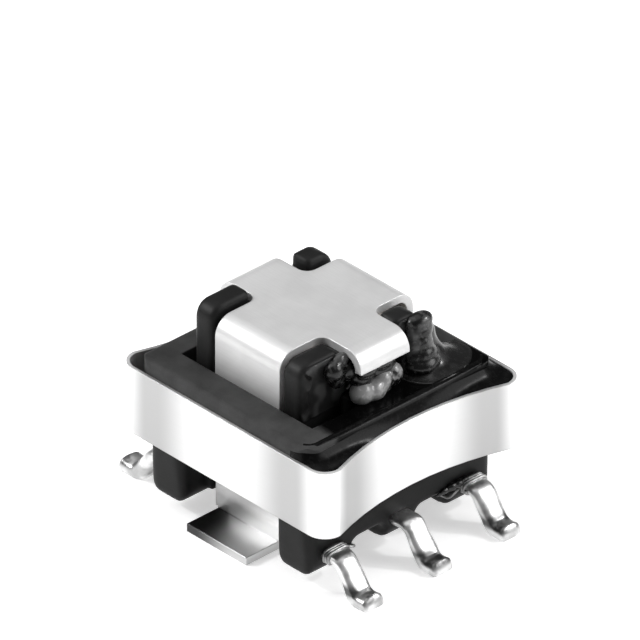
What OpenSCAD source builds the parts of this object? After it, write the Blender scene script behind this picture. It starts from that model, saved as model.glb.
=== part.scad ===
// Surface-mount current-sense transformer: a pair of small ferrite E cores on a moulded
// former, a fine-wire secondary, and a one-turn stamped strip as the primary.
// Millimetres. Z is up, the board is z = 0, and the former's middle is over the origin.
// X runs along the winding, from one row of pins to the other.

/* [Ferrite core] */
// Length of the closed pair of E halves, along X
core_len = 5.5; // [5.3:0.02:6.4]
// How far the core sits off the former's middle, along X
core_shift = 0.07; // [0:0.01:0.1]
// Width of each E, along Y
core_wid = 5.72; // [5.3:0.05:6.6]
// Thickness of the ferrite, along Z
core_thk = 2.0; // [1.6:0.05:2.6]
// Width of the centre leg
leg_wid = 1.4; // [1.1:0.05:1.7]
// Thickness of the back that joins the legs
back_thk = 0.65; // [0.5:0.05:0.8]
// Thickness of the two outer legs
side_thk = 0.76; // [0.6:0.02:0.9]
// Radius of the upright corners
core_corner_r = 0.45; // [0.2:0.05:0.55]
// Radius of the top and bottom edges
core_edge_r = 0.16; // [0.06:0.02:0.25]

/* [Coil former] */
// Thickness of each flange
flange_thk = 0.56; // [0.4:0.02:0.7]
// Gap between a flange and the back of the core
flange_gap = 0.41; // [0.15:0.01:0.45]
// Play of the flange ends in the core's windows
window_play = 0.07; // [0.03:0.01:0.15]
// Wall of the tube round the centre leg
tube_wall = 0.2; // [0.15:0.01:0.3]
// Clearance of the centre leg in the tube
leg_play = 0.03; // [0.01:0.01:0.06]
// Height of the rear flange's horns above the strip's top plate
rear_horn_rise = 0.2; // [0.05:0.01:0.5]
// Depth of the front flange's horns below the strip's top plate
front_horn_dip = 0.05; // [0:0.01:0.12]
// How much shorter the horns on the +Y side are
short_horn_cut = 0.4; // [0.2:0.02:0.5]
// Radius of the horns' outer top corners
horn_r = 0.38; // [0.2:0.02:0.5]
// Clearance between the strip's lip and each horn
horn_play = 0.14; // [0.05:0.01:0.2]
// Height of the rails, from their feet to the core
rail_h = 1.41; // [1.3:0.02:1.8]
// Gap between the rails' feet and the board
rail_lift = 0.35; // [0.2:0.01:0.4]
// Thickness of each rail, along X
rail_thk = 1.1; // [0.95:0.05:1.3]
// How far each rail's outer face stands in from the core's end
rail_inset = 0.05; // [0.01:0.01:0.2]
// How much further in the rear rail's outer face stands
rear_rail_step = 0.24; // [0:0.01:0.25]
// How far the rail's ends stand in from the core's sides
rail_end_inset = 0.05; // [0.03:0.01:0.3]
// How far the rail's ends lean in from the core to the feet
rail_draft = 0.1; // [0:0.01:0.15]
// Radius of the rail's upright corners
rail_corner_r = 0.28; // [0.1:0.02:0.4]
// Distance from the middle of a rail to the middle of each arch
arch_y = 0.96; // [0.9:0.01:1.05]
// Width of the arches between the pins
arch_wid = 1.03; // [0.7:0.01:1.1]
// Height of the arches above the rail's feet
arch_h = 0.53; // [0.4:0.01:0.6]
// Radius of the arches' upper corners
arch_r = 0.25; // [0.1:0.01:0.32]

/* [Pins] */
// Distance between neighbouring pins
pin_pitch = 2.07; // [1.8:0.01:2.3]
// Width of a pin
pin_wid = 0.54; // [0.45:0.01:0.7]
// Thickness of a pin
pin_thk = 0.17; // [0.13:0.01:0.25]
// Height of a pin's underside where it leaves the rail
pin_root_z = 0.76; // [0.65:0.01:0.9]
// Reach of the front row's tips from the former's middle
front_reach = 4.15; // [4.08:0.01:4.4]
// Reach of the rear row's tips, which are formed a little shorter
rear_reach = 3.86; // [3.84:0.01:4.4]
// Straight stretch outside the rail before the bend
pin_straight = 0.24; // [0.22:0.01:0.3]
// Slope of the pin between its two bends
pin_slope = 56; // [50:1:75]
// Bend radius on the inside of each bend
pin_bend_r = 0.23; // [0.12:0.01:0.28]
// Length moulded into the rail
pin_tail = 0.6; // [0.4:0.05:0.8]

/* [Primary strip] */
// Thickness of the strip
strip_thk = 0.2; // [0.12:0.01:0.25]
// Clearance between the legs and the flanges
strip_play = 0.1; // [0.05:0.01:0.2]
// Clearance between the legs and the core's outer legs
strip_core_play = 0.087; // [0.03:0.001:0.15]
// Outside bend radius at the top of the legs
strip_bend_r = 0.45; // [0.35:0.01:0.6]
// Reach of the lips from the centre, along X
lip_reach = 2.27; // [2.1:0.01:2.5]
// Width of the lips
lip_wid = 1.46; // [1.2:0.02:1.6]
// How far the lips hang below the top plate
lip_drop = 0.5; // [0.3:0.02:0.7]
// Corner fillet where a lip meets the top plate
notch_r = 0.28; // [0.1:0.02:0.34]
// Distance from one foot's end to the other's
foot_span = 5.9; // [5.4:0.05:6.6]
// Width of the feet
foot_wid = 1.91; // [1.5:0.01:2.0]

/* [Band and windings] */
// Thickness of the band
band_thk = 0.08; // [0.05:0.01:0.15]
// Height of the band
band_h = 1.7; // [1.3:0.01:1.9]
// How far the band's top edge is below the core's top
band_drop = 0.33; // [0.1:0.01:0.5]
// Gap between the band and the core's sides, shared unevenly by both
band_side_gap = 0.1; // [0.02:0.01:0.15]
// How far the band sits off centre, along X
band_shift_x = 0.12; // [0.05:0.01:0.2]
// How far the band's corners stand out from the core's ends
band_end_gap = 0.49; // [0.4:0.01:0.7]
// Gap between the bowed rear end of the band and the core
bow_gap = 0; // [0:0.01:0.15]
// Radius of the band's corners
band_corner_r = 0.4; // [0.2:0.02:0.6]
// Thickness of the tape over the winding
tape_thk = 0.05; // [0.03:0.01:0.1]
// Thickness of the lead wire
wire_d = 0.08; // [0.06:0.01:0.12]
// Turns of lead wire wrapped on a pin
wrap_turns = 3; // [2:1:3]
// How far the leads stay from the wall of the arch that they pass through
lead_inset = 0.12; // [0.1:0.01:0.3]

/* [Hidden] */
$fn = 48;

// A length longer than any cut
far = 30;

// Core
core_z = rail_lift + rail_h;
core_top = core_z + core_thk;
core_mid_z = core_z + core_thk / 2;
window_out = core_wid / 2 - side_thk;
back_in = core_len / 2 - back_thk;

// Coil former
flange_out = back_in - flange_gap;
flange_in = flange_out - flange_thk;
flange_half = window_out - window_play;
bore_y = leg_wid / 2 + leg_play;
bore_z = core_thk / 2 + leg_play;
tube_y = bore_y + tube_wall;
tube_z = bore_z + tube_wall;
rail_out = core_shift + core_len / 2 - rail_inset;
rear_rail_out = core_len / 2 - core_shift - rail_inset - rear_rail_step;
rail_half = core_wid / 2 - rail_end_inset;
rail_foot_r = 0.36;
rail_end_r = 0.18;
arch_top = rail_lift + arch_h;
horn_edge_r = 0.1;
saddle_foot = 0.1;

// Adhesive
drop_r = 0.24;
neck_r = 0.36;
trim = 0.05;

// Strip, tape and winding, from the windows inwards
strip_out = window_out - strip_core_play;
strip_in = strip_out - strip_thk;
strip_half = flange_in - strip_play;
winding_t = strip_in - tape_thk - tube_y;
winding_y = tube_y + winding_t;
winding_z = tube_z + winding_t;
tape_y = winding_y + tape_thk;
tape_z = winding_z + tape_thk;
strip_under = core_mid_z + tape_z;
strip_top = strip_under + strip_thk;
lip_z = strip_top - lip_drop;
horn_in = lip_wid / 2 + horn_play;
rear_horn_top = strip_top + rear_horn_rise;
front_horn_top = strip_top - front_horn_dip;
flange_foot = core_mid_z - tape_z - saddle_foot;
flange_saddle = strip_under;

// Band
band_top = core_top - band_drop;
band_z = band_top - band_h;
band_in_y = core_wid / 2 + band_side_gap;
band_in_x = core_len / 2 + band_end_gap;
band_bow = band_end_gap - band_shift_x + core_shift - bow_gap;

// Pins
pin_arc_r = pin_bend_r + pin_thk / 2;
pin_leg = (pin_root_z - 2 * pin_arc_r * (1 - cos(pin_slope))) / sin(pin_slope);
pin_root_mid = pin_root_z + pin_thk / 2;
arc_lap = 1;

// Leads: the balls at the corners are slightly larger than the wire
ball_d = 1.04 * wire_d;

// ---- helpers ----

// Rectangle with its centre on the origin and rounded corners
module rounded(w, h, r) {
    square([w, h - 2 * r], center = true);
    square([w - 2 * r, h], center = true);
    for (x = [-1, 1], y = [-1, 1])
        translate([x * (w / 2 - r), y * (h / 2 - r)]) circle(r = r);
}

// An outline in the YZ plane, drawn with Y to the right, from x0 to x1
module along_x(x0, x1) {
    translate([x0, 0, 0]) rotate([90, 0, 90]) linear_extrude(x1 - x0) children();
}

// An outline in the XZ plane, drawn with X to the right, from y0 to y1
module along_y(y0, y1) {
    translate([0, y1, 0]) rotate([90, 0, 0]) linear_extrude(y1 - y0) children();
}

// Part of a ring between two radii, from angle a to angle b, less than 180 degrees apart
module arc_band(r_in, r_out, a, b) {
    wide = 2 * r_out;
    intersection() {
        difference() {
            circle(r = r_out);
            circle(r = r_in);
        }
        polygon([[0, 0], wide * [cos(a), sin(a)], wide * [cos((a + b) / 2), sin((a + b) / 2)],
                 wide * [cos(b), sin(b)]]);
    }
}

// A round bar from one point to another, with a slightly larger ball at its far end
module bar(p, q, d) {
    run = q - p;
    translate(p)
        rotate([0, acos(run.z / norm(run)), atan2(run.y, run.x)])
            cylinder(d = d, h = norm(run), $fn = 24);
    translate(q) sphere(d = d * ball_d / wire_d, $fn = 24);
}

// ---- ferrite core ----

module core_outline() {
    difference() {
        rounded(core_len, core_wid, core_corner_r);
        for (side = [-1, 1])
            translate([0, side * (window_out + leg_wid / 2) / 2])
                square([2 * back_in, window_out - leg_wid / 2], center = true);
    }
}

// Both halves as one, centred on x = 0
module core_pair() {
    intersection() {
        translate([0, 0, core_z]) linear_extrude(core_thk) core_outline();
        along_x(-far, far)
            translate([0, core_mid_z]) rounded(core_wid, core_thk, core_edge_r);
        along_y(-far, far)
            translate([0, core_mid_z]) rounded(core_len, core_thk, core_edge_r);
    }
}

module core_half(side) {
    color([0.24, 0.24, 0.25])
        translate([core_shift, 0, 0])
            intersection() {
                core_pair();
                translate([side * far / 2, 0, 0]) cube(far, center = true);
            }
}

module core_half_front() core_half(1);
module core_half_rear() core_half(-1);

// ---- coil former ----

// Flange outline: a plate that passes through both windows, with a horn at each end.
// The cut takes the top of the right-hand horn back, where it is above the core.
module flange_outline(top, cut) {
    difference() {
        translate([-flange_half, flange_foot]) square([2 * flange_half, top - flange_foot]);
        translate([-horn_in, flange_saddle]) square([2 * horn_in, far]);
        translate([flange_half - cut, core_top + trim]) square(far);
        for (side = [-1, 1])
            translate([side < 0 ? horn_r - flange_half : flange_half - cut - horn_r, top - horn_r])
                difference() {
                    translate([side * horn_r, horn_r]) square(2 * horn_r, center = true);
                    circle(r = horn_r);
                }
    }
}

module flange(top, cut) {
    intersection() {
        along_x(flange_in, flange_out) flange_outline(top, cut);
        along_y(-far, far)
            translate([(flange_in + flange_out) / 2, top - far / 2])
                rounded(flange_thk, far, horn_edge_r);
    }
}

module front_flange() flange(front_horn_top, short_horn_cut);
module rear_flange() mirror([1, 0, 0]) flange(rear_horn_top, short_horn_cut);

module rail_arches() {
    for (side = [-1, 1])
        translate([side * arch_y, arch_top - far / 2]) rounded(arch_wid, far, arch_r);
}

// A rail seen along X: its ends lean in towards the feet
module rail_front() {
    foot_half = rail_half - rail_draft;
    difference() {
        intersection() {
            polygon([[-foot_half, rail_lift], [foot_half, rail_lift],
                     [rail_half, core_z], [-rail_half, core_z]]);
            union() {
                translate([0, rail_lift + far / 2])
                    rounded(2 * foot_half + rail_draft, far, rail_end_r);
                translate([-rail_half, rail_lift + rail_h / 2]) square([2 * rail_half, far]);
            }
        }
        rail_arches();
    }
}

// A rail whose outer face is at the given X
module rail(outer) {
    mid_x = outer - rail_thk / 2;
    intersection() {
        translate([mid_x, 0, 0]) linear_extrude(core_z) rounded(rail_thk, 2 * rail_half, rail_corner_r);
        along_x(outer - rail_thk, outer) rail_front();
        along_y(-far, far)
            translate([mid_x, rail_lift + far / 2]) rounded(rail_thk, far, rail_foot_r);
    }
}

module coil_former() {
    color([0.16, 0.16, 0.17])
        difference() {
            union() {
                front_flange();
                rear_flange();
                rail(rail_out);
                rotate(180) rail(rear_rail_out);
                along_x(-flange_out, flange_out)
                    translate([0, core_mid_z]) rounded(2 * tube_y, 2 * tube_z, tube_wall);
            }
            translate([0, 0, core_mid_z]) cube([far, 2 * bore_y, 2 * bore_z], center = true);
            for (number = [1:6]) pin(number);
        }
}

// ---- winding and tape ----

module ring_outline(y_out, y_in, z_out, z_in, r_out, r_in) {
    difference() {
        rounded(2 * y_out, 2 * z_out, r_out);
        rounded(2 * y_in, 2 * z_in, r_in);
    }
}

module secondary_winding() {
    color([0.72, 0.42, 0.2])
        along_x(-flange_in, flange_in)
            translate([0, core_mid_z])
                ring_outline(winding_y, tube_y, winding_z, tube_z, winding_t, tube_wall);
}

module winding_tape() {
    color([0.85, 0.75, 0.45])
        along_x(-flange_in, flange_in)
            translate([0, core_mid_z])
                ring_outline(tape_y, winding_y, tape_z, winding_z, winding_t + tape_thk, winding_t);
}

// ---- primary strip ----

// The strip seen along X: both legs, the rounded top and the feet
module strip_side() {
    difference() {
        translate([0, strip_top / 2]) rounded(2 * strip_out, strip_top, strip_bend_r);
        translate([0, strip_under / 2])
            rounded(2 * strip_in, strip_under, strip_bend_r - strip_thk);
        translate([-far / 2, -far + strip_bend_r]) square(far);
    }
    for (side = [-1, 1]) {
        translate([side * (strip_out + strip_in) / 2, strip_bend_r])
            square([strip_thk, 2 * strip_bend_r], center = true);
        translate([side * (foot_span / 2 + strip_in) / 2, strip_thk / 2])
            square([foot_span / 2 - strip_in, strip_thk], center = true);
    }
}

// The top plate seen along Y: flat, with a lip bent down at each end
module strip_front() {
    difference() {
        translate([0, strip_top - far / 2]) rounded(2 * lip_reach, far, strip_bend_r);
        translate([0, strip_under - far / 2])
            rounded(2 * (lip_reach - strip_thk), far, strip_bend_r - strip_thk);
    }
}

// The cross-shaped blank in plan, with a fillet in each inner corner
module strip_plan() {
    square([2 * strip_half, far], center = true);
    square([far, lip_wid], center = true);
    for (x = [-1, 1], y = [-1, 1])
        translate([x * strip_half, y * lip_wid / 2])
            difference() {
                translate([x * notch_r / 2, y * notch_r / 2]) square(notch_r, center = true);
                translate([x * notch_r, y * notch_r]) circle(r = notch_r);
            }
}

module primary_strip() {
    foot_top = strip_thk + trim;
    color([0.78, 0.78, 0.8])
        difference() {
            intersection() {
                union() {
                    along_x(-strip_half - notch_r, strip_half + notch_r) strip_side();
                    intersection() {
                        along_y(-lip_wid / 2, lip_wid / 2) strip_front();
                        translate([0, 0, lip_z + far / 2]) cube(far, center = true);
                    }
                }
                translate([0, 0, -1]) linear_extrude(far) strip_plan();
            }
            for (side = [-1, 1])
                translate([side * (foot_wid / 2 + far / 2), 0, foot_top - far / 2])
                    cube(far, center = true);
        }
}

// ---- band ----

// The band's outline in plan: straight sides, rounded corners, and ends bowed towards the core
module band_outline(grow) {
    // the bow's chord spans the straight stretch between the corners
    chord = band_in_y - band_corner_r;
    bow_r = (chord * chord + band_bow * band_bow) / (2 * band_bow);
    difference() {
        rounded(2 * (band_in_x + grow), 2 * (band_in_y + grow), band_corner_r + grow);
        for (side = [-1, 1])
            translate([side * (band_in_x - band_bow + bow_r + grow), 0])
                circle(r = bow_r, $fn = 180);
    }
}

module core_band() {
    color([0.86, 0.87, 0.88])
        translate([band_shift_x, band_side_gap, band_z])
            linear_extrude(band_h)
                difference() {
                    band_outline(band_thk);
                    band_outline(0);
                }
}

// ---- pins ----

// One pin seen along Y, from its tail inside the rail to its tip; x = 0 is the rail's face
module pin_side(reach) {
    upper = [pin_straight, pin_root_mid - pin_arc_r];
    foot_start = pin_straight + pin_leg * cos(pin_slope) + 2 * pin_arc_r * sin(pin_slope);
    foot_end = reach - pin_thk / 2;
    translate([-pin_tail, pin_root_z]) square([pin_tail + pin_straight, pin_thk]);
    translate(upper) arc_band(pin_bend_r, pin_bend_r + pin_thk, 90 - pin_slope - arc_lap, 90 + arc_lap);
    translate(upper) rotate(-pin_slope) translate([0, pin_bend_r]) square([pin_leg, pin_thk]);
    translate([foot_start, pin_thk / 2 + pin_arc_r])
        arc_band(pin_bend_r, pin_bend_r + pin_thk, 270 - pin_slope - arc_lap, 270 + arc_lap);
    translate([foot_start, 0]) square([foot_end - foot_start, pin_thk]);
    translate([foot_end, pin_thk / 2]) circle(d = pin_thk);
}

// A pin of the row at the given turn, cut to round the corners of its foot
module row_pin(turn, row, face, reach) {
    rotate(turn)
        translate([face, row * pin_pitch, 0])
            intersection() {
                along_y(-pin_wid / 2, pin_wid / 2) pin_side(reach - face);
                translate([reach - face - far / 2, 0, -1])
                    linear_extrude(far) rounded(far, pin_wid, pin_wid / 4);
            }
}

// Pins 1 to 3 stand at +X and 4 to 6 at -X, counted round the part
module pin(number) {
    row = (number - 1) % 3 - 1;
    if (number < 4) row_pin(0, row, rail_out, front_reach);
    else row_pin(180, row, rear_rail_out, rear_reach);
}

module tinned_pin(number) color([0.8, 0.81, 0.82]) pin(number);

// ---- leads of the secondary ----

// One turn of wire round a pin's root: four straights and four corners
module wrap_turn() {
    half_y = (pin_wid + wire_d) / 2;
    half_z = (pin_thk + wire_d) / 2;
    corners = [[0, half_y, half_z], [0, -half_y, half_z], [0, -half_y, -half_z], [0, half_y, -half_z]];
    for (i = [0:3]) bar(corners[i], corners[(i + 1) % 4], wire_d);
}

// The turns lie close enough to press into each other, and sit on the pin's four faces
module wraps() {
    difference() {
        for (turn = [0:wrap_turns - 1])
            translate([wire_d * (0.5 + 0.9 * turn), 0, pin_root_mid]) wrap_turn();
        translate([0, 0, pin_root_mid]) cube([far, pin_wid, pin_thk], center = true);
    }
}

// A lead from the wraps on a front pin, through an arch and under the flange to the winding.
// The side is 1 where the lead turns inwards on the +Y side of the pin, and -1 on its other side.
module lead(number, side, arch) {
    pin_y = (number - 2) * pin_pitch;
    face_x = rail_out + ball_d / 2;
    flat_y = tube_y * sign(arch);
    route = [[face_x, pin_y + side * (pin_wid + wire_d) / 2, pin_root_mid],
             [face_x, arch, arch_top - (arch_r + wire_d) / 2],
             [flange_out, arch, flange_foot - ball_d / 2],
             [flange_in, flat_y, flange_foot - ball_d / 2],
             [flange_in - 3 * wire_d, flat_y, core_mid_z - tape_z - ball_d / 2]];
    color([0.55, 0.33, 0.2]) {
        translate([rail_out, pin_y, 0]) wraps();
        for (i = [1:len(route) - 1]) bar(route[i - 1], route[i], wire_d);
    }
}

module lead_start() lead(1, 1, -arch_y - arch_wid / 2 + lead_inset);
module lead_finish() lead(3, -1, arch_y + arch_wid / 2 - lead_inset);

// ---- adhesive ----

// Everything that the adhesive lies against: the flange, the strip's lip and the core's top
module glued_pieces() {
    front_flange();
    primary_strip();
    translate([0, 0, core_top - far / 2]) cube(far, center = true);
}

// A row of drops, at a distance out from the flange's outer face: each is
// [y, height above the core, radius]
module drops(out, list) {
    color([0.08, 0.08, 0.08])
        difference() {
            for (drop = list)
                translate([flange_out + out, drop[0], core_top + drop[1]]) sphere(r = drop[2]);
            glued_pieces();
            translate([flange_out - far / 2, 0, 0]) cube(far, center = true);
        }
}

// A cluster that holds the left-hand horn to the lip
module glue_front_horn() {
    inner = -horn_in - drop_r / 2;
    high = front_horn_top - core_top - drop_r;
    drops(0, [[inner - 1.75 * drop_r, high - 0.1 * drop_r, 0.83 * drop_r],
              [inner - 0.7 * drop_r, high - 0.75 * drop_r, drop_r],
              [inner - 0.4 * drop_r, high + 0.1 * drop_r, 0.83 * drop_r],
              [inner, high - 1.6 * drop_r, 0.83 * drop_r]]);
}

// A bead under the lip, over the gap between the flange and the core
module glue_lip() {
    step = lip_wid / 4;
    drops(flange_gap - trim, [for (i = [0:3])
        [(i - 1.3) * step, 0.75 * drop_r, (1.2 - 0.1 * (i % 2)) * drop_r]]);
}

// A fillet, hollow like a trumpet, from the right-hand horn down to the core's top
module glue_corner() {
    horn_y = flange_half - short_horn_cut;
    flare = core_shift + core_len / 2 - flange_out - trim;
    sweep_r = flare - neck_r;
    rise = front_horn_top - core_top - trim;
    color([0.08, 0.08, 0.08])
        difference() {
            intersection() {
                translate([flange_out, horn_y, core_top])
                    rotate_extrude()
                        intersection() {
                            square([flare, rise]);
                            union() {
                                difference() {
                                    square([flare, sweep_r + trim]);
                                    translate([flare, sweep_r + trim]) circle(r = sweep_r);
                                }
                                square([neck_r, rise - neck_r]);
                                translate([0, rise - neck_r]) circle(r = neck_r);
                            }
                        }
                translate([flange_in, horn_in + trim, core_top])
                    cube([far, core_wid / 2 - horn_in - 2 * trim, far]);
            }
            glued_pieces();
        }
}

core_half_front();
core_half_rear();
coil_former();
secondary_winding();
winding_tape();
primary_strip();
core_band();
tinned_pin(1);  // pin_1
tinned_pin(2);  // pin_2
tinned_pin(3);  // pin_3
tinned_pin(4);  // pin_4
tinned_pin(5);  // pin_5
tinned_pin(6);  // pin_6
lead_start();
lead_finish();
glue_front_horn();
glue_lip();
glue_corner();
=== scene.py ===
import math
import bpy
import bmesh
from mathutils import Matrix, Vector, noise


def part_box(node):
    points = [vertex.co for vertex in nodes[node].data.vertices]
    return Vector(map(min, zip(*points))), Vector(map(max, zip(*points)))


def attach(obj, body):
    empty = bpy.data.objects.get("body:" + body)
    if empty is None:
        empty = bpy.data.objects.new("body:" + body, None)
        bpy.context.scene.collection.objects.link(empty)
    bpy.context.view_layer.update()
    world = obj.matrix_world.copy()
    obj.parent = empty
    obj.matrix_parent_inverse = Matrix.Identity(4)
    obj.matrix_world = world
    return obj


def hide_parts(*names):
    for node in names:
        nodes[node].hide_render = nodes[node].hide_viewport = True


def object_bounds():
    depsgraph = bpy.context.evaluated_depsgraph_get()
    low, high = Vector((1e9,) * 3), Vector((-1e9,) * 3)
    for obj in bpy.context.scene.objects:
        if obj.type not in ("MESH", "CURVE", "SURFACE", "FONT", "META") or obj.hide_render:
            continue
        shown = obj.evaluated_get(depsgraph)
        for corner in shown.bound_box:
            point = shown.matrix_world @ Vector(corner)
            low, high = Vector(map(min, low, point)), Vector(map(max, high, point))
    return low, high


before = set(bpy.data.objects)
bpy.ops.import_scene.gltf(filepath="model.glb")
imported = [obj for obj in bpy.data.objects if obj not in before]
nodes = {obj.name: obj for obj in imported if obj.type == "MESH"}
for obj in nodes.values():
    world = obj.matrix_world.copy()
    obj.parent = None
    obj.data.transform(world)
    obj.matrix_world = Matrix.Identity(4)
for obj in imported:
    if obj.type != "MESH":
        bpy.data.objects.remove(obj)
cadLow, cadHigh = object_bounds()
mm = 0.001
print("frame loaded with", len(nodes), "solids")


# A solid's box in millimetres, lowest corner then highest
def boxMm(name):
    low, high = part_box(name)
    return low / mm, high / mm


stage = {"floorRadius": 0.11, "floorGrey": 0.86, "floorCloud": 0.02, "floorGlow": 0.50,
         "roomGrey": 0.18, "groundGrey": 0.75}

# direction is where the lamp stands, seen from the part; size and away are in millimetres
lamps = {
    "topSoftbox": {"direction": (-0.25, 0.05, 1.0), "away": 90, "size": (90, 90), "power": 0.028},
    "leftSoftbox": {"direction": (-0.62, -0.54, 0.60), "away": 90, "size": (50, 44), "power": 0.034},
    "rightSoftbox": {"direction": (0.64, 0.58, 0.44), "away": 90, "size": (50, 50), "power": 0.036},
    "leftGlint": {"direction": (-0.60, -0.56, 0.62), "away": 120, "size": (9, 9), "power": 0.040},
    "rightGlint": {"direction": (0.40, 0.62, 0.62), "away": 120, "size": (9, 9), "power": 0.034},
}

shot = {"azimuth": 46.8, "elevation": 32.3, "width": 14.126, "away": 400,
        "aim": (-1.596, 1.438, 0.692)}      # millimetres from the middle of the part's box


def put(tree, kind, settings=None, inputs=None):
    item = tree.nodes.new(kind)
    for key, value in (settings or {}).items():
        setattr(item, key, value)
    for key, value in (inputs or {}).items():
        if isinstance(value, bpy.types.NodeSocket):
            tree.links.new(value, item.inputs[key])
        else:
            item.inputs[key].default_value = value
    return item


def startMaterial(name):
    mat = bpy.data.materials.new(name)
    mat.use_nodes = True
    tree = mat.node_tree
    tree.nodes.clear()
    out = put(tree, "ShaderNodeOutputMaterial")
    shader = put(tree, "ShaderNodeBsdfPrincipled")
    tree.links.new(shader.outputs["BSDF"], out.inputs["Surface"])
    coords = put(tree, "ShaderNodeTexCoord")
    place = put(tree, "ShaderNodeMapping", None,
                {"Vector": coords.outputs["Object"], "Scale": (1000, 1000, 1000)})
    return mat, tree, shader, place.outputs["Vector"]


def noiseOf(tree, place, scale, detail=3.0, rough=0.55, stretch=None):
    if stretch:
        place = put(tree, "ShaderNodeMapping", None, {"Vector": place, "Scale": stretch}).outputs["Vector"]
    return put(tree, "ShaderNodeTexNoise", None,
               {"Vector": place, "Scale": scale, "Detail": detail, "Roughness": rough}).outputs["Fac"]


def ramp(tree, value, low, high, toLow=0.0, toHigh=1.0):
    return put(tree, "ShaderNodeMapRange", {"interpolation_type": "SMOOTHSTEP", "clamp": True},
               {"Value": value, "From Min": low, "From Max": high,
                "To Min": toLow, "To Max": toHigh}).outputs["Result"]


def calc(tree, how, a, b=0.0):
    item = tree.nodes.new("ShaderNodeMath")
    item.operation = how
    for socket, value in zip(item.inputs, (a, b)):
        if isinstance(value, bpy.types.NodeSocket):
            tree.links.new(value, socket)
        else:
            socket.default_value = value
    return item.outputs[0]


def blendColour(tree, amount, a, b, how="MIX"):
    item = tree.nodes.new("ShaderNodeMix")
    item.data_type, item.blend_type = "RGBA", how
    for index, value in ((0, amount), (6, a), (7, b)):
        if isinstance(value, bpy.types.NodeSocket):
            tree.links.new(value, item.inputs[index])
        else:
            item.inputs[index].default_value = value if index == 0 else (*value, 1.0)
    return item.outputs[2]


def grey(value, warm=0.0):
    return (value * (1 + warm), value, value * (1 - warm))


def axesOf(tree, place):
    return put(tree, "ShaderNodeSeparateXYZ", None, {"Vector": place}).outputs


# The rounded normal of sharp edges, and a mask that is 1 along them
def softEdges(tree, radius):
    bevel = put(tree, "ShaderNodeBevel", {"samples": 6}, {"Radius": radius * mm})
    surface = put(tree, "ShaderNodeNewGeometry")
    dot = put(tree, "ShaderNodeVectorMath", {"operation": "DOT_PRODUCT"},
              {0: bevel.outputs["Normal"], 1: surface.outputs["Normal"]})
    return bevel.outputs["Normal"], ramp(tree, dot.outputs["Value"], 0.99, 0.8)


def bump(tree, height, distance, strength=1.0, normal=None):
    inputs = {"Height": height, "Distance": distance * mm, "Strength": strength}
    if normal is not None:
        inputs["Normal"] = normal
    return put(tree, "ShaderNodeBump", None, inputs).outputs["Normal"]


def finish(shader, tree, colour, rough, normal):
    tree.links.new(colour, shader.inputs["Base Color"])
    tree.links.new(rough, shader.inputs["Roughness"])
    tree.links.new(normal, shader.inputs["Normal"])


def dress(name, mat):
    mesh = nodes[name].data
    mesh.materials.clear()
    mesh.materials.append(mat)
    for face in mesh.polygons:
        face.material_index = 0


# Camera, floor and lamps
centre = (cadLow + cadHigh) / 2
azimuth, elevation = math.radians(shot["azimuth"]), math.radians(shot["elevation"])
back = Vector((math.sin(azimuth) * math.cos(elevation), -math.cos(azimuth) * math.cos(elevation),
               math.sin(elevation)))
camera = bpy.data.objects.new("camera", bpy.data.cameras.new("camera"))
bpy.context.scene.collection.objects.link(camera)
camera.data.sensor_width = 36
camera.data.lens = 36 * shot["away"] / shot["width"]
camera.location = centre + Vector(shot["aim"]) * mm + back * shot["away"] * mm
camera.rotation_mode = "QUATERNION"
camera.rotation_quaternion = (-back).to_track_quat("-Z", "Y")
camera.data.clip_start, camera.data.clip_end = 0.01, 2.0
bpy.context.scene.camera = camera
bpy.context.scene.view_settings.view_transform = "Standard"

world = bpy.data.worlds.new("room")
bpy.context.scene.world = world
world.use_nodes = True
tree = world.node_tree
tree.nodes.clear()
aim = put(tree, "ShaderNodeTexCoord")
up = axesOf(tree, aim.outputs["Generated"])["Z"]
shade = blendColour(tree, ramp(tree, up, -0.12, 0.06), grey(stage["groundGrey"]), grey(stage["roomGrey"]))
glow = put(tree, "ShaderNodeBackground", None, {"Color": shade, "Strength": 1.0})
put(tree, "ShaderNodeOutputWorld", None, {"Surface": glow.outputs["Background"]})

mesh = bpy.data.meshes.new("floor")
shape = bmesh.new()
bmesh.ops.create_circle(shape, cap_ends=True, segments=96, radius=stage["floorRadius"])
shape.to_mesh(mesh)
floor = bpy.data.objects.new("floor", mesh)
bpy.context.scene.collection.objects.link(floor)
mat = bpy.data.materials.new("paleFloor")
mat.use_nodes = True
tree = mat.node_tree
tree.nodes.clear()
coords = put(tree, "ShaderNodeTexCoord")
tone = noiseOf(tree, coords.outputs["Object"], 30, 2)
card = put(tree, "ShaderNodeBsdfDiffuse", None,
           {"Color": blendColour(tree, tone, grey(stage["floorGrey"] - stage["floorCloud"]),
                                 grey(stage["floorGrey"] + stage["floorCloud"]))})
lit = put(tree, "ShaderNodeEmission", None, {"Color": (1, 1, 1, 1), "Strength": stage["floorGlow"]})
both = put(tree, "ShaderNodeAddShader")
tree.links.new(card.outputs[0], both.inputs[0])
tree.links.new(lit.outputs[0], both.inputs[1])
put(tree, "ShaderNodeOutputMaterial", None, {"Surface": both.outputs[0]})
mesh.materials.append(mat)

for name, lamp in lamps.items():
    light = bpy.data.lights.new(name, "AREA")
    light.shape = "RECTANGLE"
    light.size, light.size_y = lamp["size"][0] * mm, lamp["size"][1] * mm
    light.energy = lamp["power"]
    item = bpy.data.objects.new(name, light)
    bpy.context.scene.collection.objects.link(item)
    toward = Vector(lamp["direction"]).normalized()
    item.location = centre + toward * lamp["away"] * mm
    item.rotation_mode = "QUATERNION"
    item.rotation_quaternion = (-toward).to_track_quat("-Z", "Y")
print("camera, floor and lamps are in place")


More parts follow.
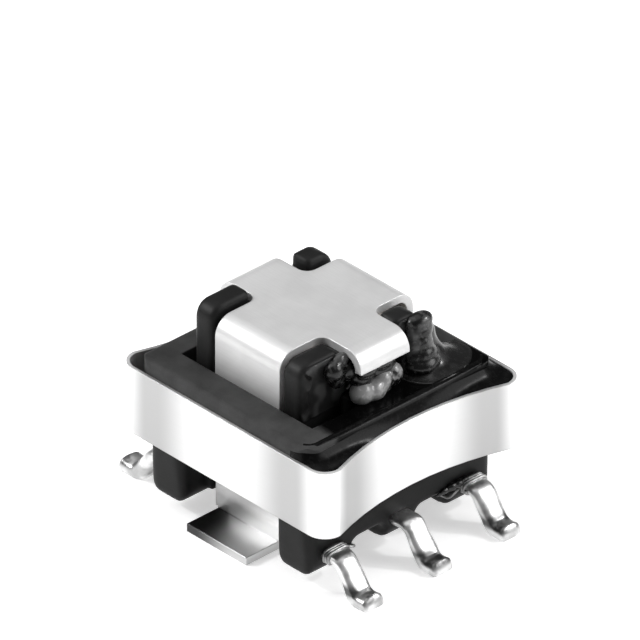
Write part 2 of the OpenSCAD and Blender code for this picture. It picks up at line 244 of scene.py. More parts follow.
# Ferrite: matt ground grey, with a glossy film of adhesive round the flange at its front end
ferrite = {"dark": 0.036, "light": 0.056, "fleck": 0.08, "edge": 0.11, "rough": 0.6, "edgeRadius": 0.07,
           "seam": 0.07, "filmFrom": 1.7, "filmTo": 3.0, "filmLeft": -2.2, "filmRight": 0.8, "wander": 0.6,
           "filmDark": 0.002, "filmRough": 0.10, "filmSpread": 0.20,
           "shine": 0.12, "filmShine": 0.035}


def ferriteFinish():
    mat, tree, shader, place = startMaterial("groundFerrite")
    broad, fine = noiseOf(tree, place, 1.4, 4), noiseOf(tree, place, 42, 2)
    along = axesOf(tree, place)
    colour = blendColour(tree, ramp(tree, broad, 0.3, 0.7), grey(ferrite["dark"]), grey(ferrite["light"]))
    colour = blendColour(tree, ramp(tree, fine, 0.45, 0.75, 0, 0.3), colour, grey(ferrite["fleck"]))
    rounded, edges = softEdges(tree, ferrite["edgeRadius"])
    flat = put(tree, "ShaderNodeNewGeometry").outputs["Normal"]
    # the halves meet flat, so their joint keeps a sharp edge
    offSeam = calc(tree, "ABSOLUTE", calc(tree, "SUBTRACT", along["X"], ferrite["seam"]))
    offSeam = ramp(tree, offSeam, 0.05, 0.09)
    rounded = put(tree, "ShaderNodeMix", {"data_type": "VECTOR"},
                  {0: offSeam, 4: flat, 5: rounded}).outputs[1]
    edges = calc(tree, "MULTIPLY", calc(tree, "MULTIPLY", edges, 0.55), offSeam)
    # painted highlight: the rounded edges are lighter, except along the halves' joint
    colour = blendColour(tree, edges, colour, grey(ferrite["edge"]))
    # the film: up to a wandering line on the left and outside, and all over on the right
    wander = calc(tree, "SUBTRACT", noiseOf(tree, place, 1.6, 3), 0.5)
    wander = calc(tree, "MULTIPLY", wander, ferrite["wander"])
    x, y = calc(tree, "ADD", along["X"], wander), calc(tree, "ADD", along["Y"], wander)
    inner = ramp(tree, x, ferrite["filmTo"] + 0.3, ferrite["filmTo"])
    inner = calc(tree, "MULTIPLY", inner, ramp(tree, y, ferrite["filmLeft"], ferrite["filmLeft"] + 0.4))
    film = calc(tree, "MAXIMUM", inner, ramp(tree, y, ferrite["filmRight"], ferrite["filmRight"] + 0.5))
    film = calc(tree, "MULTIPLY", film, ramp(tree, x, ferrite["filmFrom"], ferrite["filmFrom"] + 0.25))
    colour = blendColour(tree, film, colour, grey(ferrite["filmDark"]))
    rough = calc(tree, "ADD", ferrite["rough"] - 0.08, calc(tree, "MULTIPLY", fine, 0.16))
    patch = ramp(tree, noiseOf(tree, place, 1.2, 0), 0.4, 0.7, ferrite["filmRough"], ferrite["filmSpread"])
    mixRough = put(tree, "ShaderNodeMix", None, {0: film, 2: rough, 3: patch}).outputs[0]
    grain = calc(tree, "MULTIPLY", fine, calc(tree, "SUBTRACT", 1.0, film))
    normal = bump(tree, grain, 0.005, 0.5, rounded)
    normal = bump(tree, noiseOf(tree, place, 3.0, 2), 0.02, 0.3, normal)
    finish(shader, tree, colour, mixRough, normal)
    tree.links.new(ramp(tree, film, 0.0, 1.0, ferrite["shine"], ferrite["filmShine"]),
                   shader.inputs["Specular IOR Level"])
    return mat


# Moulding: black glass-filled nylon; adhesive has run over the outer face of the front flange
moulding = {"dark": 0.008, "light": 0.014, "streak": 0.024, "edge": 0.035, "rough": 0.44, "edgeRadius": 0.12,
            "runFrom": 1.66, "runAbove": 3.6,
            "runDark": 0.016, "runLight": 0.050, "runLeft": -1.45, "runRough": 0.2,
            "shade": 0.002, "railShade": 0.5, "shadeTop": 2.0, "shadeFull": 1.5}


def mouldingFinish():
    mat, tree, shader, place = startMaterial("blackNylon")
    broad, fine = noiseOf(tree, place, 0.9, 4), noiseOf(tree, place, 30, 3)
    flow = noiseOf(tree, place, 9, 2, 0.5, (0.4, 0.4, 2.2))
    along = axesOf(tree, place)
    colour = blendColour(tree, ramp(tree, broad, 0.3, 0.7), grey(moulding["dark"]), grey(moulding["light"]))
    colour = blendColour(tree, ramp(tree, flow, 0.5, 0.9, 0, 0.25), colour, grey(moulding["streak"]))
    rounded, edges = softEdges(tree, moulding["edgeRadius"])
    # painted highlight: the rounded edges are lighter
    colour = blendColour(tree, calc(tree, "MULTIPLY", edges, 0.5), colour, grey(moulding["edge"]))
    # the rails stand in the band's shade
    low = ramp(tree, along["Z"], moulding["shadeTop"], moulding["shadeFull"], 0, moulding["railShade"])
    colour = blendColour(tree, low, colour, grey(moulding["shade"]))
    cloud = noiseOf(tree, place, 2.2, 1, 0.5)
    run = ramp(tree, along["X"], moulding["runFrom"], moulding["runFrom"] + 0.02)
    run = calc(tree, "MULTIPLY", run,
               ramp(tree, along["Z"], moulding["runAbove"], moulding["runAbove"] + 0.02))
    edge = calc(tree, "ADD", along["Y"], cloud)
    run = calc(tree, "MULTIPLY", run, ramp(tree, edge, moulding["runLeft"], moulding["runLeft"] + 0.2))
    glue = blendColour(tree, ramp(tree, cloud, 0.42, 0.6),
                       grey(moulding["runDark"]), grey(moulding["runLight"]))
    colour = blendColour(tree, run, colour, glue)
    rough = calc(tree, "ADD", moulding["rough"] - 0.06, calc(tree, "MULTIPLY", flow, 0.14))
    rough = put(tree, "ShaderNodeMix", None, {0: run, 2: rough, 3: moulding["runRough"]}).outputs[0]
    normal = bump(tree, fine, 0.004, 0.4, rounded)
    swell = noiseOf(tree, place, 1.5, 0, 0.4)
    normal = bump(tree, calc(tree, "MULTIPLY", swell, run), 0.22, 0.6, normal)
    finish(shader, tree, colour, rough, normal)
    shader.inputs["Specular IOR Level"].default_value = 0.16
    return mat


# Strip: tinned brass, satin on the cap; painted reflection darkens the lower legs, which are also more
# metallic
strip = {"dark": 0.70, "light": 0.80, "streak": 0.55, "edge": 0.95, "rough": 0.42, "edgeRadius": 0.035,
         "metal": 0.5, "lowerLegsBelow": 0.55, "lowerLegsRough": 0.36, "lowerLegs": 0.40,
         "footBelow": 0.26, "footDark": 0.06, "footLight": 0.62}


def stripFinish():
    mat, tree, shader, place = startMaterial("satinTinnedStrip")
    broad = noiseOf(tree, place, 0.8, 3)
    brushed = noiseOf(tree, place, 26, 3, 0.6, (0.06, 1.0, 1.0))
    colour = blendColour(tree, ramp(tree, broad, 0.25, 0.75), grey(strip["dark"]), grey(strip["light"]))
    colour = blendColour(tree, ramp(tree, brushed, 0.35, 0.75, 0, 0.14), colour, grey(strip["streak"]))
    rounded, edges = softEdges(tree, strip["edgeRadius"])
    # painted highlight: the edges are lighter
    colour = blendColour(tree, calc(tree, "MULTIPLY", edges, 0.7), colour, grey(strip["edge"]))
    ragged = calc(tree, "ADD", axesOf(tree, place)["Z"], calc(tree, "MULTIPLY", broad, 0.3))
    lowerLegs = ramp(tree, ragged, strip["lowerLegsBelow"] + 0.35, strip["lowerLegsBelow"] + 0.1)
    rough = calc(tree, "ADD", strip["rough"] - 0.05, calc(tree, "MULTIPLY", brushed, 0.12))
    # painted reflection: the lower legs are darker below a ragged line, and a little smoother and more
    # metallic
    colour = blendColour(tree, lowerLegs, colour, grey(strip["lowerLegs"]))
    # painted shade and light: the feet go from dark to light along X
    across = axesOf(tree, place)
    paintedFootShade = blendColour(tree, ramp(tree, across["X"], -0.7, 0.6),
                       grey(strip["footDark"]), grey(strip["footLight"]))
    onFoot = ramp(tree, across["Z"], strip["footBelow"], strip["footBelow"] - 0.06)
    colour = blendColour(tree, onFoot, colour, paintedFootShade)
    rough = put(tree, "ShaderNodeMix", None, {0: lowerLegs, 2: rough, 3: strip["lowerLegsRough"]}).outputs[0]
    metal = put(tree, "ShaderNodeMix", None, {0: lowerLegs, 2: strip["metal"], 3: 0.95}).outputs[0]
    normal = bump(tree, brushed, 0.002, 0.35, rounded)
    normal = bump(tree, broad, 0.03, 0.2, normal)
    finish(shader, tree, colour, rough, normal)
    tree.links.new(metal, shader.inputs["Metallic"])
    return mat


# Band: bright rolled metal, satin, with painted reflection greying it towards each corner
band = {"white": 0.95, "grey": 0.50, "edge": 0.40, "rough": 0.32, "edgeRadius": 0.03, "metal": 0.6,
        "middle": (0.12, 0.10), "greyFrom": 3.6, "greyTo": 5.45}


def bandFinish():
    mat, tree, shader, place = startMaterial("rolledBand")
    along = axesOf(tree, place)
    broad = noiseOf(tree, place, 0.55, 2, 0.5, (1.0, 1.0, 0.15))
    lines = noiseOf(tree, place, 30, 3, 0.6, (0.03, 0.03, 1.0))
    alongX = calc(tree, "ABSOLUTE", calc(tree, "SUBTRACT", along["X"], band["middle"][0]))
    alongY = calc(tree, "ABSOLUTE", calc(tree, "SUBTRACT", along["Y"], band["middle"][1]))
    fromMiddle = calc(tree, "ADD", calc(tree, "ADD", alongX, alongY), calc(tree, "MULTIPLY", broad, 0.3))
    fromMiddle = calc(tree, "SUBTRACT", fromMiddle, 0.15)
    # painted reflection: grey on the faces towards each corner, white in the middles and at the corners
    # themselves
    tone = calc(tree, "MULTIPLY", ramp(tree, fromMiddle, band["greyFrom"], band["greyFrom"] + 1.5),
                ramp(tree, fromMiddle, band["greyTo"] + 0.65, band["greyTo"]))
    colour = blendColour(tree, tone, grey(band["white"]), grey(band["grey"]))
    colour = blendColour(tree, ramp(tree, lines, 0.4, 0.8, 0, 0.08), colour, grey(0.6))
    rounded, edges = softEdges(tree, band["edgeRadius"])
    # painted shade: the edges are a darker grey
    colour = blendColour(tree, calc(tree, "MULTIPLY", edges, 0.8), colour, grey(band["edge"]))
    rough = calc(tree, "ADD", band["rough"] - 0.05, calc(tree, "MULTIPLY", lines, 0.12))
    normal = bump(tree, lines, 0.0015, 0.3, rounded)
    finish(shader, tree, colour, rough, normal)
    shader.inputs["Metallic"].default_value = band["metal"]
    return mat


# Solder on the pins: bright and smooth, a little dull in places, with painted shade in the heel's hollow
solder = {"dark": 0.48, "light": 0.90, "dull": 0.36, "heel": 0.12, "rough": 0.26, "roughSpread": 0.14}


def solderFinish():
    mat, tree, shader, place = startMaterial("dippedSolder")
    broad, fine = noiseOf(tree, place, 2.2, 3, 0.5), noiseOf(tree, place, 14, 3)
    colour = blendColour(tree, ramp(tree, broad, 0.3, 0.6), grey(solder["dark"]), grey(solder["light"]))
    colour = blendColour(tree, ramp(tree, fine, 0.6, 0.85, 0, 0.3), colour, grey(solder["dull"]))
    # painted shade darkens the heel, just above the foot
    height = axesOf(tree, place)["Z"]
    heel = calc(tree, "MULTIPLY", ramp(tree, height, 0.50, 0.34), ramp(tree, height, 0.10, 0.24))
    heel = calc(tree, "MULTIPLY", heel, ramp(tree, broad, 0.35, 0.6))
    colour = blendColour(tree, heel, colour, grey(solder["heel"]))
    rough = calc(tree, "ADD", solder["rough"], calc(tree, "MULTIPLY", fine, solder["roughSpread"]))
    normal = bump(tree, broad, 0.03, 0.35)
    normal = bump(tree, fine, 0.003, 0.3, normal)
    finish(shader, tree, colour, rough, normal)
    shader.inputs["Metallic"].default_value = 0.95
    return mat


# Adhesive: black epoxy, glossy, with cloudy lighter places where it is thin or full of air
adhesive = {"dark": 0.003, "rough": 0.19}


def adhesiveFinish(name, light, amount, gloss):
    mat, tree, shader, place = startMaterial(name)
    broad, fine = noiseOf(tree, place, 2.4, 1), noiseOf(tree, place, 9, 1)
    colour = blendColour(tree, ramp(tree, broad, 0.62 - amount, 0.74 - amount),
                         grey(adhesive["dark"]), grey(light))
    colour = blendColour(tree, ramp(tree, fine, 0.5, 0.75, 0, 0.35), colour, grey(1.7 * light))
    roughness = calc(tree, "ADD", adhesive["rough"], calc(tree, "MULTIPLY", fine, 0.14))
    normal = bump(tree, broad, 0.02, 0.25)
    normal = bump(tree, fine, 0.002, 0.15, normal)
    finish(shader, tree, colour, roughness, normal)
    shader.inputs["Specular IOR Level"].default_value = gloss
    return mat


# Enamelled wire, and the film tape over the winding
wire = {"dark": 0.20, "light": 0.50, "rough": 0.26}
tape = {"dark": 0.36, "light": 0.48, "rough": 0.30, "turns": 0.9}


def wireFinish():
    mat, tree, shader, place = startMaterial("enamelledWire")
    broad, fine = noiseOf(tree, place, 3.0, 3), noiseOf(tree, place, 24, 2)
    colour = blendColour(tree, ramp(tree, broad, 0.35, 0.65), grey(wire["dark"]), grey(wire["light"]))
    rough = calc(tree, "ADD", wire["rough"], calc(tree, "MULTIPLY", fine, 0.15))
    finish(shader, tree, colour, rough, bump(tree, fine, 0.002, 0.3))
    shader.inputs["Metallic"].default_value = 0.6
    return mat


def windingFinish():
    mat, tree, shader, place = startMaterial("layeredWire")
    turns = put(tree, "ShaderNodeTexWave", {"bands_direction": "X", "wave_profile": "SIN"},
                {"Vector": place, "Scale": 3.8, "Distortion": 0.3, "Detail": 1.0, "Detail Scale": 0.6})
    groove = turns.outputs["Fac"]
    # painted shade: the grooves between turns are much darker than the wire
    colour = blendColour(tree, groove, grey(0.05, 0.1), grey(wire["light"], 0.1))
    rough = calc(tree, "ADD", 0.26, calc(tree, "MULTIPLY", groove, 0.1))
    finish(shader, tree, colour, rough, bump(tree, groove, 0.03, 0.8))
    shader.inputs["Metallic"].default_value = 0.6
    return mat


def tapeFinish():
    mat, tree, shader, place = startMaterial("filmTape")
    broad, fine = noiseOf(tree, place, 1.2, 3), noiseOf(tree, place, 20, 2, 0.5, (0.2, 1, 1))
    colour = blendColour(tree, broad, grey(tape["dark"], 0.08), grey(tape["light"], 0.08))
    along = axesOf(tree, place)
    lap = ramp(tree, calc(tree, "ABSOLUTE", along["X"]), tape["turns"], tape["turns"] + 0.03)
    colour = blendColour(tree, calc(tree, "MULTIPLY", lap, 0.3), colour, grey(0.2, 0.08))
    rough = calc(tree, "ADD", tape["rough"] - 0.06, calc(tree, "MULTIPLY", fine, 0.14))
    finish(shader, tree, colour, rough, bump(tree, fine, 0.004, 0.4))
    return mat


ferriteMat, mouldingMat, stripMat, bandMat = ferriteFinish(), mouldingFinish(), stripFinish(), bandFinish()
solderMat, wireMat = solderFinish(), wireFinish()
glossMat = adhesiveFinish("glossyEpoxy", 0.012, 0.05, 0.5)
filmMat = adhesiveFinish("thinEpoxyFilm", 0.006, 0.05, 0.08)
mottledMat = adhesiveFinish("mottledEpoxy", 0.06, 0.15, 0.4)
cloudMat = adhesiveFinish("cloudyEpoxy", 0.24, 0.30, 0.6)
for name in ("core_half_front", "core_half_rear"):
    dress(name, ferriteMat)
dress("coil_former", mouldingMat)
dress("primary_strip", stripMat)
dress("core_band", bandMat)
dress("secondary_winding", windingFinish())
dress("winding_tape", tapeFinish())
print("finishes are on the solids")


# A new piece from a bmesh drawn in millimetres
def addPiece(name, shape, mat, slotName, *stands):
    bmesh.ops.scale(shape, vec=(mm, mm, mm), verts=shape.verts)
    mesh = bpy.data.meshes.new(name)
    shape.to_mesh(mesh)
    shape.free()
    for face in mesh.polygons:
        face.use_smooth = True
    mesh.materials.append(mat)
    item = bpy.data.objects.new(name, mesh)
    bpy.context.scene.collection.objects.link(item)
    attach(item, "root")
    if stands:
        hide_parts(*stands)
    return item


# Pins: flat wire dipped in solder, so its edges are round and its faces uneven
pinShape = {"thickness": 0.17, "coat": 0.036, "footCoat": 0.085, "sideCoat": 0.03, "rearCoat": 0.03,
            "straight": 0.24, "slope": 56, "bend": 0.23, "tail": 0.3, "curl": 0.05, "uneven": 0.020,
            "sideRound": 0.66, "faceRound": 0.72, "ring": 32, "step": 0.03}


# Centre line and direction of a pin seen from its side, from the rail's face outwards
def pinPath(reach, rootZ):
    arc = pinShape["bend"] + pinShape["thickness"] / 2
    slope = math.radians(pinShape["slope"])
    drop = rootZ - pinShape["thickness"] / 2
    leg = (drop - 2 * arc * (1 - math.cos(slope))) / math.sin(slope)
    points = []
    count = int((pinShape["tail"] + pinShape["straight"]) / pinShape["step"])
    for i in range(count):
        points.append((-pinShape["tail"] + i * pinShape["step"], rootZ, 0.0))
    x, z = pinShape["straight"], rootZ
    turns = 12
    for i in range(turns + 1):
        angle = slope * i / turns
        points.append((x + arc * math.sin(angle), z - arc * (1 - math.cos(angle)), angle))
    x, z, _ = points[-1]
    count = max(2, int(leg / pinShape["step"]))
    for i in range(1, count + 1):
        run = leg * i / count
        points.append((x + run * math.cos(slope), z - run * math.sin(slope), slope))
    x, z, _ = points[-1]
    for i in range(1, turns + 1):
        angle = slope * (1 - i / turns)
        points.append((x + arc * (math.sin(slope) - math.sin(angle)),
                       z - arc * (math.cos(angle) - math.cos(slope)), angle))
    x, z, _ = points[-1]
    length = reach - x
    count = max(4, int(length / pinShape["step"]))
    for i in range(1, count + 1):
        run = i / count
        points.append((x + length * run, z + pinShape["curl"] * run ** 2,
                       -math.atan2(2 * pinShape["curl"] * run, length)))
    return points


def makePin(number):
    low, high = boxMm("pin_%d" % number)
    former = boxMm("coil_former")
    front = number < 4
    face = former[1].x if front else -former[0].x
    reach = (high.x if front else -low.x) - face
    turn = 1 if front else -1
    middle, width = (low.y + high.y) / 2, high.y - low.y
    rootZ = high.z - pinShape["thickness"] / 2
    path = pinPath(reach - 0.02, rootZ)
    shape = bmesh.new()
    rings = []
    travelled = 0.0
    for i, (x, z, angle) in enumerate(path):
        if i:
            travelled += math.hypot(x - path[i - 1][0], z - path[i - 1][1])
        left = len(path) - 1 - i
        tip = min(1.0, math.sqrt(max(0.0, 1 - (1 - min(left, 5) / 5) ** 2)) + 0.25)
        ring = []
        for k in range(pinShape["ring"]):
            turnBy = 2 * math.pi * k / pinShape["ring"]
            c, s = math.cos(turnBy), math.sin(turnBy)
            half = (width / 2 + pinShape["sideCoat"]) * (0.62 + 0.38 * tip)
            across = half * math.copysign(abs(c) ** pinShape["sideRound"], c)
            coat = pinShape["coat"] + (0 if front else pinShape["rearCoat"])
            coat += pinShape["footCoat"] * max(0.0, 1 - z / rootZ) ** 1.5
            thick = (pinShape["thickness"] / 2 + coat) * (0.5 + 0.5 * tip)
            rise = thick * math.copysign(abs(s) ** pinShape["faceRound"], s)
            lump = noise.noise(Vector((travelled * 1.8, across * 2.0, number * 3.7 + s * 0.5)))
            rise += pinShape["uneven"] * lump * 1.4
            across += pinShape["uneven"] * noise.noise(Vector((travelled * 2, c * 1.5, number * 5.1)))
            px = x + rise * math.sin(angle)
            pz = z + rise * math.cos(angle)
            ring.append(shape.verts.new((turn * (face + px), middle + turn * across, max(pz, 0.004))))
        rings.append(ring)
    for a, b in zip(rings, rings[1:]):
        for k in range(len(a)):
            m = (k + 1) % len(a)
            shape.faces.new((a[k], a[m], b[m], b[k]))
    shape.faces.new(list(reversed(rings[0])))
    shape.faces.new(rings[-1])
    bmesh.ops.recalc_face_normals(shape, faces=shape.faces)
    return addPiece("solderedPin%d" % number, shape, solderMat, "tinned_pin", "pin_%d" % number)


for number in range(1, 7):
    makePin(number)
print("pins are made")


# A tube along a smooth curve through points in millimetres
def drawWire(shape, points, radius, sides=12, fine=6):
    points = [Vector(p) for p in points]
    ends = [2 * points[0] - points[1], *points, 2 * points[-1] - points[-2]]
    line = []
    for a, b, c, d in zip(ends, ends[1:], ends[2:], ends[3:]):
        for i in range(fine):
            t = i / fine
            line.append(0.5 * (2 * b + (c - a) * t + (2 * a - 5 * b + 4 * c - d) * t * t
                               + (3 * b - a - 3 * c + d) * t * t * t))
    line.append(points[-1])
    side = None
    rings = []
    for i, spot in enumerate(line):
        run = (line[min(i + 1, len(line) - 1)] - line[max(i - 1, 0)]).normalized()
        side = (side or run.orthogonal()) - run * run.dot(side or run.orthogonal())
        side.normalize()
        over = run.cross(side)
        rings.append([shape.verts.new(spot + radius * (side * math.cos(2 * math.pi * k / sides)
                                                       + over * math.sin(2 * math.pi * k / sides)))
                      for k in range(sides)])
    for a, b in zip(rings, rings[1:]):
        for k in range(sides):
            m = (k + 1) % sides
            shape.faces.new((a[k], a[m], b[m], b[k]))
    shape.faces.new(list(reversed(rings[0])))
    shape.faces.new(rings[-1])


# Leads: close turns round the pin's root, then through the arch to the winding
lead = {"radius": 0.036, "turns": 3, "pitch": 0.070, "archY": 1.43, "archZ": 0.715, "flangeOut": 1.69,
        "flangeIn": 1.13, "underFlange": 0.505, "windingY": 0.93, "windingX": 0.89, "windingZ": 0.605}


def makeLead(name, node, pinNode, side):
    low, high = boxMm(pinNode)
    face = boxMm("coil_former")[1].x
    middle = (low.y + high.y) / 2
    halfY = (high.y - low.y) / 2 + lead["radius"] + 0.012
    halfZ = pinShape["thickness"] / 2 + lead["radius"] + 0.012
    rootZ = high.z - pinShape["thickness"] / 2
    points = []
    steps = 20
    total = int(lead["turns"] * steps)
    for i in range(total + 1):
        angle = 2 * math.pi * (total - i) / steps
        c, s = math.cos(angle), math.sin(angle)
        loose = 1 + 0.02 * math.sin(i * 1.7)
        points.append((face + lead["radius"] + lead["pitch"] * (total - i) / steps,
                       middle + side * halfY * math.copysign(abs(c) ** 0.5, c) * loose,
                       rootZ + halfZ * math.copysign(abs(s) ** 0.6, s) * loose))
    out = face + lead["radius"]
    towards = -side * lead["archY"]
    startY = middle + side * halfY
    points += [(out, (startY * 2 + towards) / 3, rootZ - 0.05), (out - 0.01, towards, lead["archZ"]),
               (out - 0.3, towards, lead["archZ"] - 0.06),
               (lead["flangeOut"], towards, lead["underFlange"]),
               (lead["flangeIn"], -side * lead["windingY"], lead["underFlange"]),
               (lead["windingX"], -side * lead["windingY"], lead["windingZ"])]
    shape = bmesh.new()
    drawWire(shape, points, lead["radius"])
    bmesh.ops.recalc_face_normals(shape, faces=shape.faces)
    return addPiece(name, shape, wireMat, "enamelled_wire", node)


makeLead("startLead", "lead_start", "pin_1", 1)
makeLead("finishLead", "lead_finish", "pin_3", -1)
print("leads are wound")


# One soft skin over a shape in millimetres
def softSkin(shape, voxel, smooth):
    mesh = bpy.data.meshes.new("core")
    shape.to_mesh(mesh)
    shape.free()
    item = bpy.data.objects.new("skinned", mesh)
    bpy.context.scene.collection.objects.link(item)
    skin = item.modifiers.new("skin", "REMESH")
    skin.mode, skin.voxel_size = "VOXEL", voxel
    soft = item.modifiers.new("soft", "SMOOTH")
    soft.factor, soft.iterations = 0.5, smooth
    skinned = bpy.data.meshes.new_from_object(item.evaluated_get(bpy.context.evaluated_depsgraph_get()))
    bpy.data.objects.remove(item)
    shape = bmesh.new()
    shape.from_mesh(skinned)
    shape.normal_update()
    return shape


# The moulding's edges and corners are worn round in the mould, more than flat cuts can show
formerLook = {"voxel": 0.05, "smooth": 16}


def makeFormer():
    bpy.context.view_layer.update()
    shape = bmesh.new()
    shape.from_mesh(nodes["coil_former"].data)
    shape.transform(nodes["coil_former"].matrix_world)
    bmesh.ops.scale(shape, vec=(1 / mm, 1 / mm, 1 / mm), verts=shape.verts)
    bmesh.ops.remove_doubles(shape, verts=shape.verts, dist=0.0005)
    shape = softSkin(shape, formerLook["voxel"], formerLook["smooth"])
    print("moulding has", len(shape.faces), "faces")
    return addPiece("mouldedFormer", shape, mouldingMat, "moulding", "coil_former")


makeFormer()


free = -99      # no limit on that axis


# A lump with one skin over balls given as (x, y, z, radius x, radius y, radius z), made uneven
def sculpt(name, balls, look, mat, slotName, *stands, lowest):
    shape = bmesh.new()
    for x, y, z, rx, ry, rz in balls:
        ball = bmesh.ops.create_icosphere(shape, subdivisions=3, radius=1.0)["verts"]
        bmesh.ops.scale(shape, vec=(rx, ry, rz), verts=ball)
        bmesh.ops.translate(shape, vec=(x, y, z), verts=ball)
    shape = softSkin(shape, look["voxel"], look["smooth"])
    moved = [vert.co + vert.normal * look["lump"] * (noise.noise(vert.co * look["grain"])
                                                     + 0.5 * noise.noise(vert.co * 2.3 * look["grain"]))
             for vert in shape.verts]
    for vert, spot in zip(shape.verts, moved):
        vert.co = Vector(max(a, b) for a, b in zip(spot, lowest))
    return addPiece(name, shape, mat, slotName, *stands)


glueLook = {"voxel": 0.022, "smooth": 45, "lump": 0.010, "grain": 2.4}
varnishLook = {"voxel": 0.016, "smooth": 14, "lump": 0.008, "grain": 5.0}
coreTop = boxMm("core_half_front")[1].z
flangeFace, railFace = 1.66, 2.76       # adhesive stays outside these, just within the moulding
hornBalls = [(1.80, -1.10, 4.64, 0.22, 0.25, 0.26), (1.76, -0.88, 4.82, 0.16, 0.24, 0.18),
             (1.80, -0.64, 4.46, 0.18, 0.20, 0.26), (1.78, -0.98, 4.38, 0.16, 0.24, 0.24)]
lipBalls = [(2.05, -0.50, 3.94, 0.27, 0.30, 0.29), (2.10, -0.18, 3.90, 0.27, 0.30, 0.26),
            (2.06, 0.10, 4.00, 0.25, 0.28, 0.29), (2.04, 0.40, 4.03, 0.24, 0.28, 0.29)]
underBalls = [(2.12, -0.40, 4.50, 0.16, 0.30, 0.15), (2.10, 0.10, 4.50, 0.16, 0.36, 0.14),
              (1.95, -0.40, 4.28, 0.24, 0.32, 0.26), (1.93, 0.20, 4.26, 0.24, 0.40, 0.26),
              (1.78, 0.00, 4.00, 0.16, 0.76, 0.30)]
neckBalls = [(1.78, 1.48, 4.84, 0.25, 0.36, 0.19), (1.82, 1.44, 4.62, 0.27, 0.36, 0.28),
             (1.88, 1.38, 4.36, 0.29, 0.34, 0.30), (1.92, 1.38, 4.08, 0.36, 0.42, 0.34),
             (1.95, 1.36, 3.90, 0.44, 0.50, 0.28), (1.76, 1.70, 4.42, 0.19, 0.22, 0.40)]
overCore = (flangeFace, free, coreTop - 0.02)
sculpt("hornGlue", hornBalls, glueLook, mottledMat, "adhesive", "glue_front_horn",
       lowest=(flangeFace, free, free))
sculpt("lipGlue", lipBalls, glueLook, cloudMat, "adhesive", "glue_lip", lowest=overCore)
sculpt("underLipGlue", underBalls, glueLook, glossMat, "adhesive", lowest=overCore)
sculpt("neckGlue", neckBalls, glueLook, mottledMat, "adhesive", lowest=overCore)
varnishBalls = [(2.79, 1.16, 0.91, 0.04, 0.12, 0.05), (2.80, 1.32, 0.94, 0.07, 0.14, 0.08),
                (2.82, 1.50, 0.98, 0.10, 0.14, 0.10), (2.84, 1.68, 1.00, 0.11, 0.14, 0.10),
                (2.83, 1.86, 1.02, 0.09, 0.14, 0.07)]
sculpt("pinVarnish", varnishBalls, varnishLook, glossMat, "adhesive", lowest=(railFace, free, free))
print("lumps of adhesive are sculpted")


# The fillet that spreads from the right-hand horn over the core's corner
fillet = {"centre": (1.69, 1.63), "neck": 0.30, "flare": 1.10, "sweep": 0.74, "top": 1.0, "wander": 0.10,
          "lump": 0.015, "limit": (2.72, 2.76)}


def makeFillet():
    centre = fillet["centre"]
    profile = []
    for i in range(17):
        angle = math.radians(90 * i / 16)
        profile.append((fillet["flare"] - math.sin(angle) * (fillet["flare"] - fillet["neck"]),
                        fillet["sweep"] * (1 - math.cos(angle))))
    for i in range(1, 9):
        angle = math.radians(90 * i / 8)
        profile.append((fillet["neck"] * math.cos(angle),
                        fillet["sweep"] + (fillet["top"] - fillet["sweep"]) * math.sin(angle)))
    shape = bmesh.new()
    rings = []
    count = 96
    for r, h in profile:
        ring = []
        for k in range(count):
            turn = 2 * math.pi * k / count
            c, s = math.cos(turn), math.sin(turn)
            room = min((fillet["limit"][0] - centre[0]) / max(c, 0.01),
                       (fillet["limit"][1] - centre[1]) / max(s, 0.01))
            reach = r * (1 + fillet["wander"] * noise.noise(Vector((1.4 * c, 1.4 * s, 4.0))) * r)
            reach *= min(1.0, room / (fillet["flare"] * 1.06)) ** min(1.0, r)
            spot = Vector((centre[0] + reach * c, centre[1] + reach * s, coreTop + h))
            lump = fillet["lump"] * noise.noise(spot * 3.0) * min(1.0, 4 * r)
            ring.append(shape.verts.new((max(spot.x + lump * c, 1.64), spot.y + lump * s,
                                         spot.z + lump * min(h * 6, 1))))
        rings.append(ring)
    for a, b in zip(rings, rings[1:]):
        for k in range(count):
            m = (k + 1) % count
            shape.faces.new((a[k], a[m], b[m], b[k]))
    shape.faces.new(list(reversed(rings[0])))
    shape.faces.new(rings[-1])
    bmesh.ops.recalc_face_normals(shape, faces=shape.faces)
    return addPiece("cornerGlue", shape, glossMat, "adhesive", "glue_corner")


makeFillet()

# The film that bridges the gap between the core's front end and the band. Its rows stand square
# to the core's outline: flat on the top, round the edge, then straight down to the band.
endFilm = {"bow": 0.44, "bandThickness": 0.08, "bandCorner": 0.40, "coreCorner": 0.45, "coreEdge": 0.16,
           "start": 0.20, "skin": 0.004, "fade": 0.05, "below": 0.035, "sag": 0.35,
           "uneven": 0.012, "side": 2.28, "step": 0.035}


def coreOutline(low, high):
    corner, step = endFilm["coreCorner"], endFilm["step"]
    cx, cy = high.x - corner, high.y - corner
    rows = []
    count = int((cx - endFilm["side"]) / step)
    rows += [((endFilm["side"] + (cx - endFilm["side"]) * i / count, low.y), (0, -1)) for i in range(count)]
    turns = [math.radians(-90 + 90 * i / 20) for i in range(20)]
    rows += [((cx + corner * math.cos(a), -cy + corner * math.sin(a)), (math.cos(a), math.sin(a)))
             for a in turns]
    count = int(2 * cy / step)
    rows += [((high.x, -cy + 2 * cy * i / count), (1, 0)) for i in range(count)]
    turns = [math.radians(90 * i / 20) for i in range(20)]
    rows += [((cx + corner * math.cos(a), cy + corner * math.sin(a)), (math.cos(a), math.sin(a)))
             for a in turns]
    count = int((cx - endFilm["side"]) / step)
    rows += [((cx - (cx - endFilm["side"]) * i / count, high.y), (0, 1)) for i in range(count + 1)]
    return rows


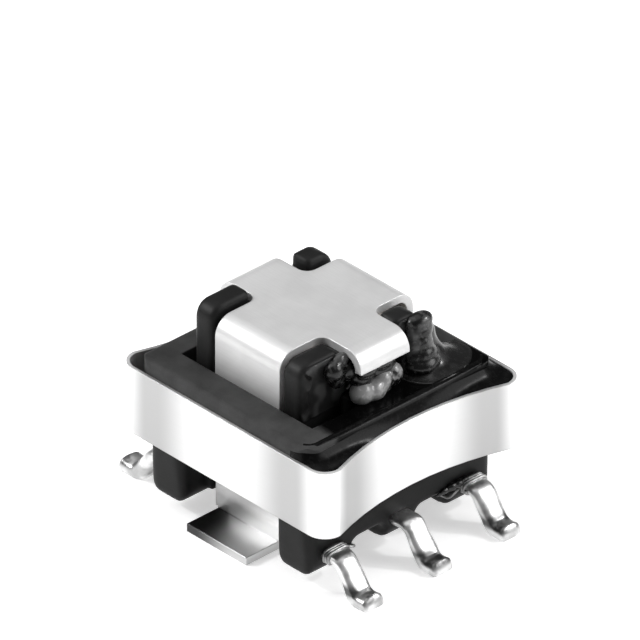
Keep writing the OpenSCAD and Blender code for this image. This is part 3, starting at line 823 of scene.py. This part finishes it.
def makeEndFilm():
    bandLow, bandHigh = boxMm("core_band")
    coreLow, coreHigh = boxMm("core_half_front")
    middle = (bandLow + bandHigh) / 2
    halfX = (bandHigh.x - bandLow.x) / 2 - endFilm["bandThickness"]
    halfY = (bandHigh.y - bandLow.y) / 2 - endFilm["bandThickness"]
    chord = halfY - endFilm["bandCorner"]
    bowR = (chord ** 2 + endFilm["bow"] ** 2) / (2 * endFilm["bow"])

    # how far outside the band's inner face a point is
    def outside(x, y):
        x, y = x - middle.x, abs(y - middle.y)
        if y <= chord:
            return x - (halfX - endFilm["bow"] + bowR - math.sqrt(bowR ** 2 - y ** 2))
        if x <= halfX - endFilm["bandCorner"]:
            return y - halfY
        return math.hypot(x - (halfX - endFilm["bandCorner"]), y - chord) - endFilm["bandCorner"]

    shape = bmesh.new()
    grid = []
    radius = endFilm["coreEdge"] + endFilm["skin"]
    outline = coreOutline(coreLow, coreHigh)
    for i, ((x, y), (nx, ny)) in enumerate(outline):
        fade = endFilm["fade"] * (1 - min(1.0, i / 8, (len(outline) - 1 - i) / 8))
        gap = 0.0
        while outside(x + nx * gap, y + ny * gap) < 0 and gap < 1.2:
            gap += 0.004
        wave = endFilm["uneven"] * noise.noise(Vector((x * 1.5, y * 1.5, 8.3)))
        across, down = max(gap, 0.014) + endFilm["coreEdge"], coreHigh.z - endFilm["coreEdge"]
        rim = bandHigh.z - endFilm["below"] + wave
        far = math.hypot(across, rim - down)
        touch = math.atan2(rim - down, across) + math.acos(min(1.0, radius / max(far, radius)))
        touch = min(touch, math.radians(88))
        profile = [(-endFilm["start"], coreHigh.z - 0.03)]
        for j in range(7):
            inwards = (endFilm["start"] - endFilm["coreEdge"] - 0.01) * j / 7
            profile.append((-endFilm["start"] + 0.01 + inwards, coreHigh.z + endFilm["skin"]))
        for j in range(9):
            angle = math.pi / 2 + (touch - math.pi / 2) * j / 8
            profile.append((-endFilm["coreEdge"] + radius * math.cos(angle), down + radius * math.sin(angle)))
        a, b = profile[-1], (across - endFilm["coreEdge"] + 0.008, rim)
        deep = endFilm["sag"] * max(0.0, gap - 0.08)
        for j in range(1, 15):
            t = j / 14
            hang = deep * math.sin(math.pi * t ** 0.8)
            profile.append((a[0] + (b[0] - a[0]) * t, a[1] + (b[1] - a[1]) * t - hang))
        row = []
        for out, z in profile:
            lump = endFilm["uneven"] * noise.noise(Vector(((x + nx * out) * 2.4, (y + ny * out) * 2.0, 3.1)))
            row.append(shape.verts.new((x + nx * out, y + ny * out, z - fade + 0.4 * max(lump, 0.0))))
        grid.append(row)
    for a, b in zip(grid, grid[1:]):
        for k in range(len(a) - 1):
            shape.faces.new((a[k], a[k + 1], b[k + 1], b[k]))
    shape.normal_update()
    if sum(face.normal.z for face in shape.faces) < 0:
        bmesh.ops.reverse_faces(shape, faces=shape.faces)
    return addPiece("endFilm", shape, filmMat, "adhesive")


makeEndFilm()
print("adhesive fillets are laid")
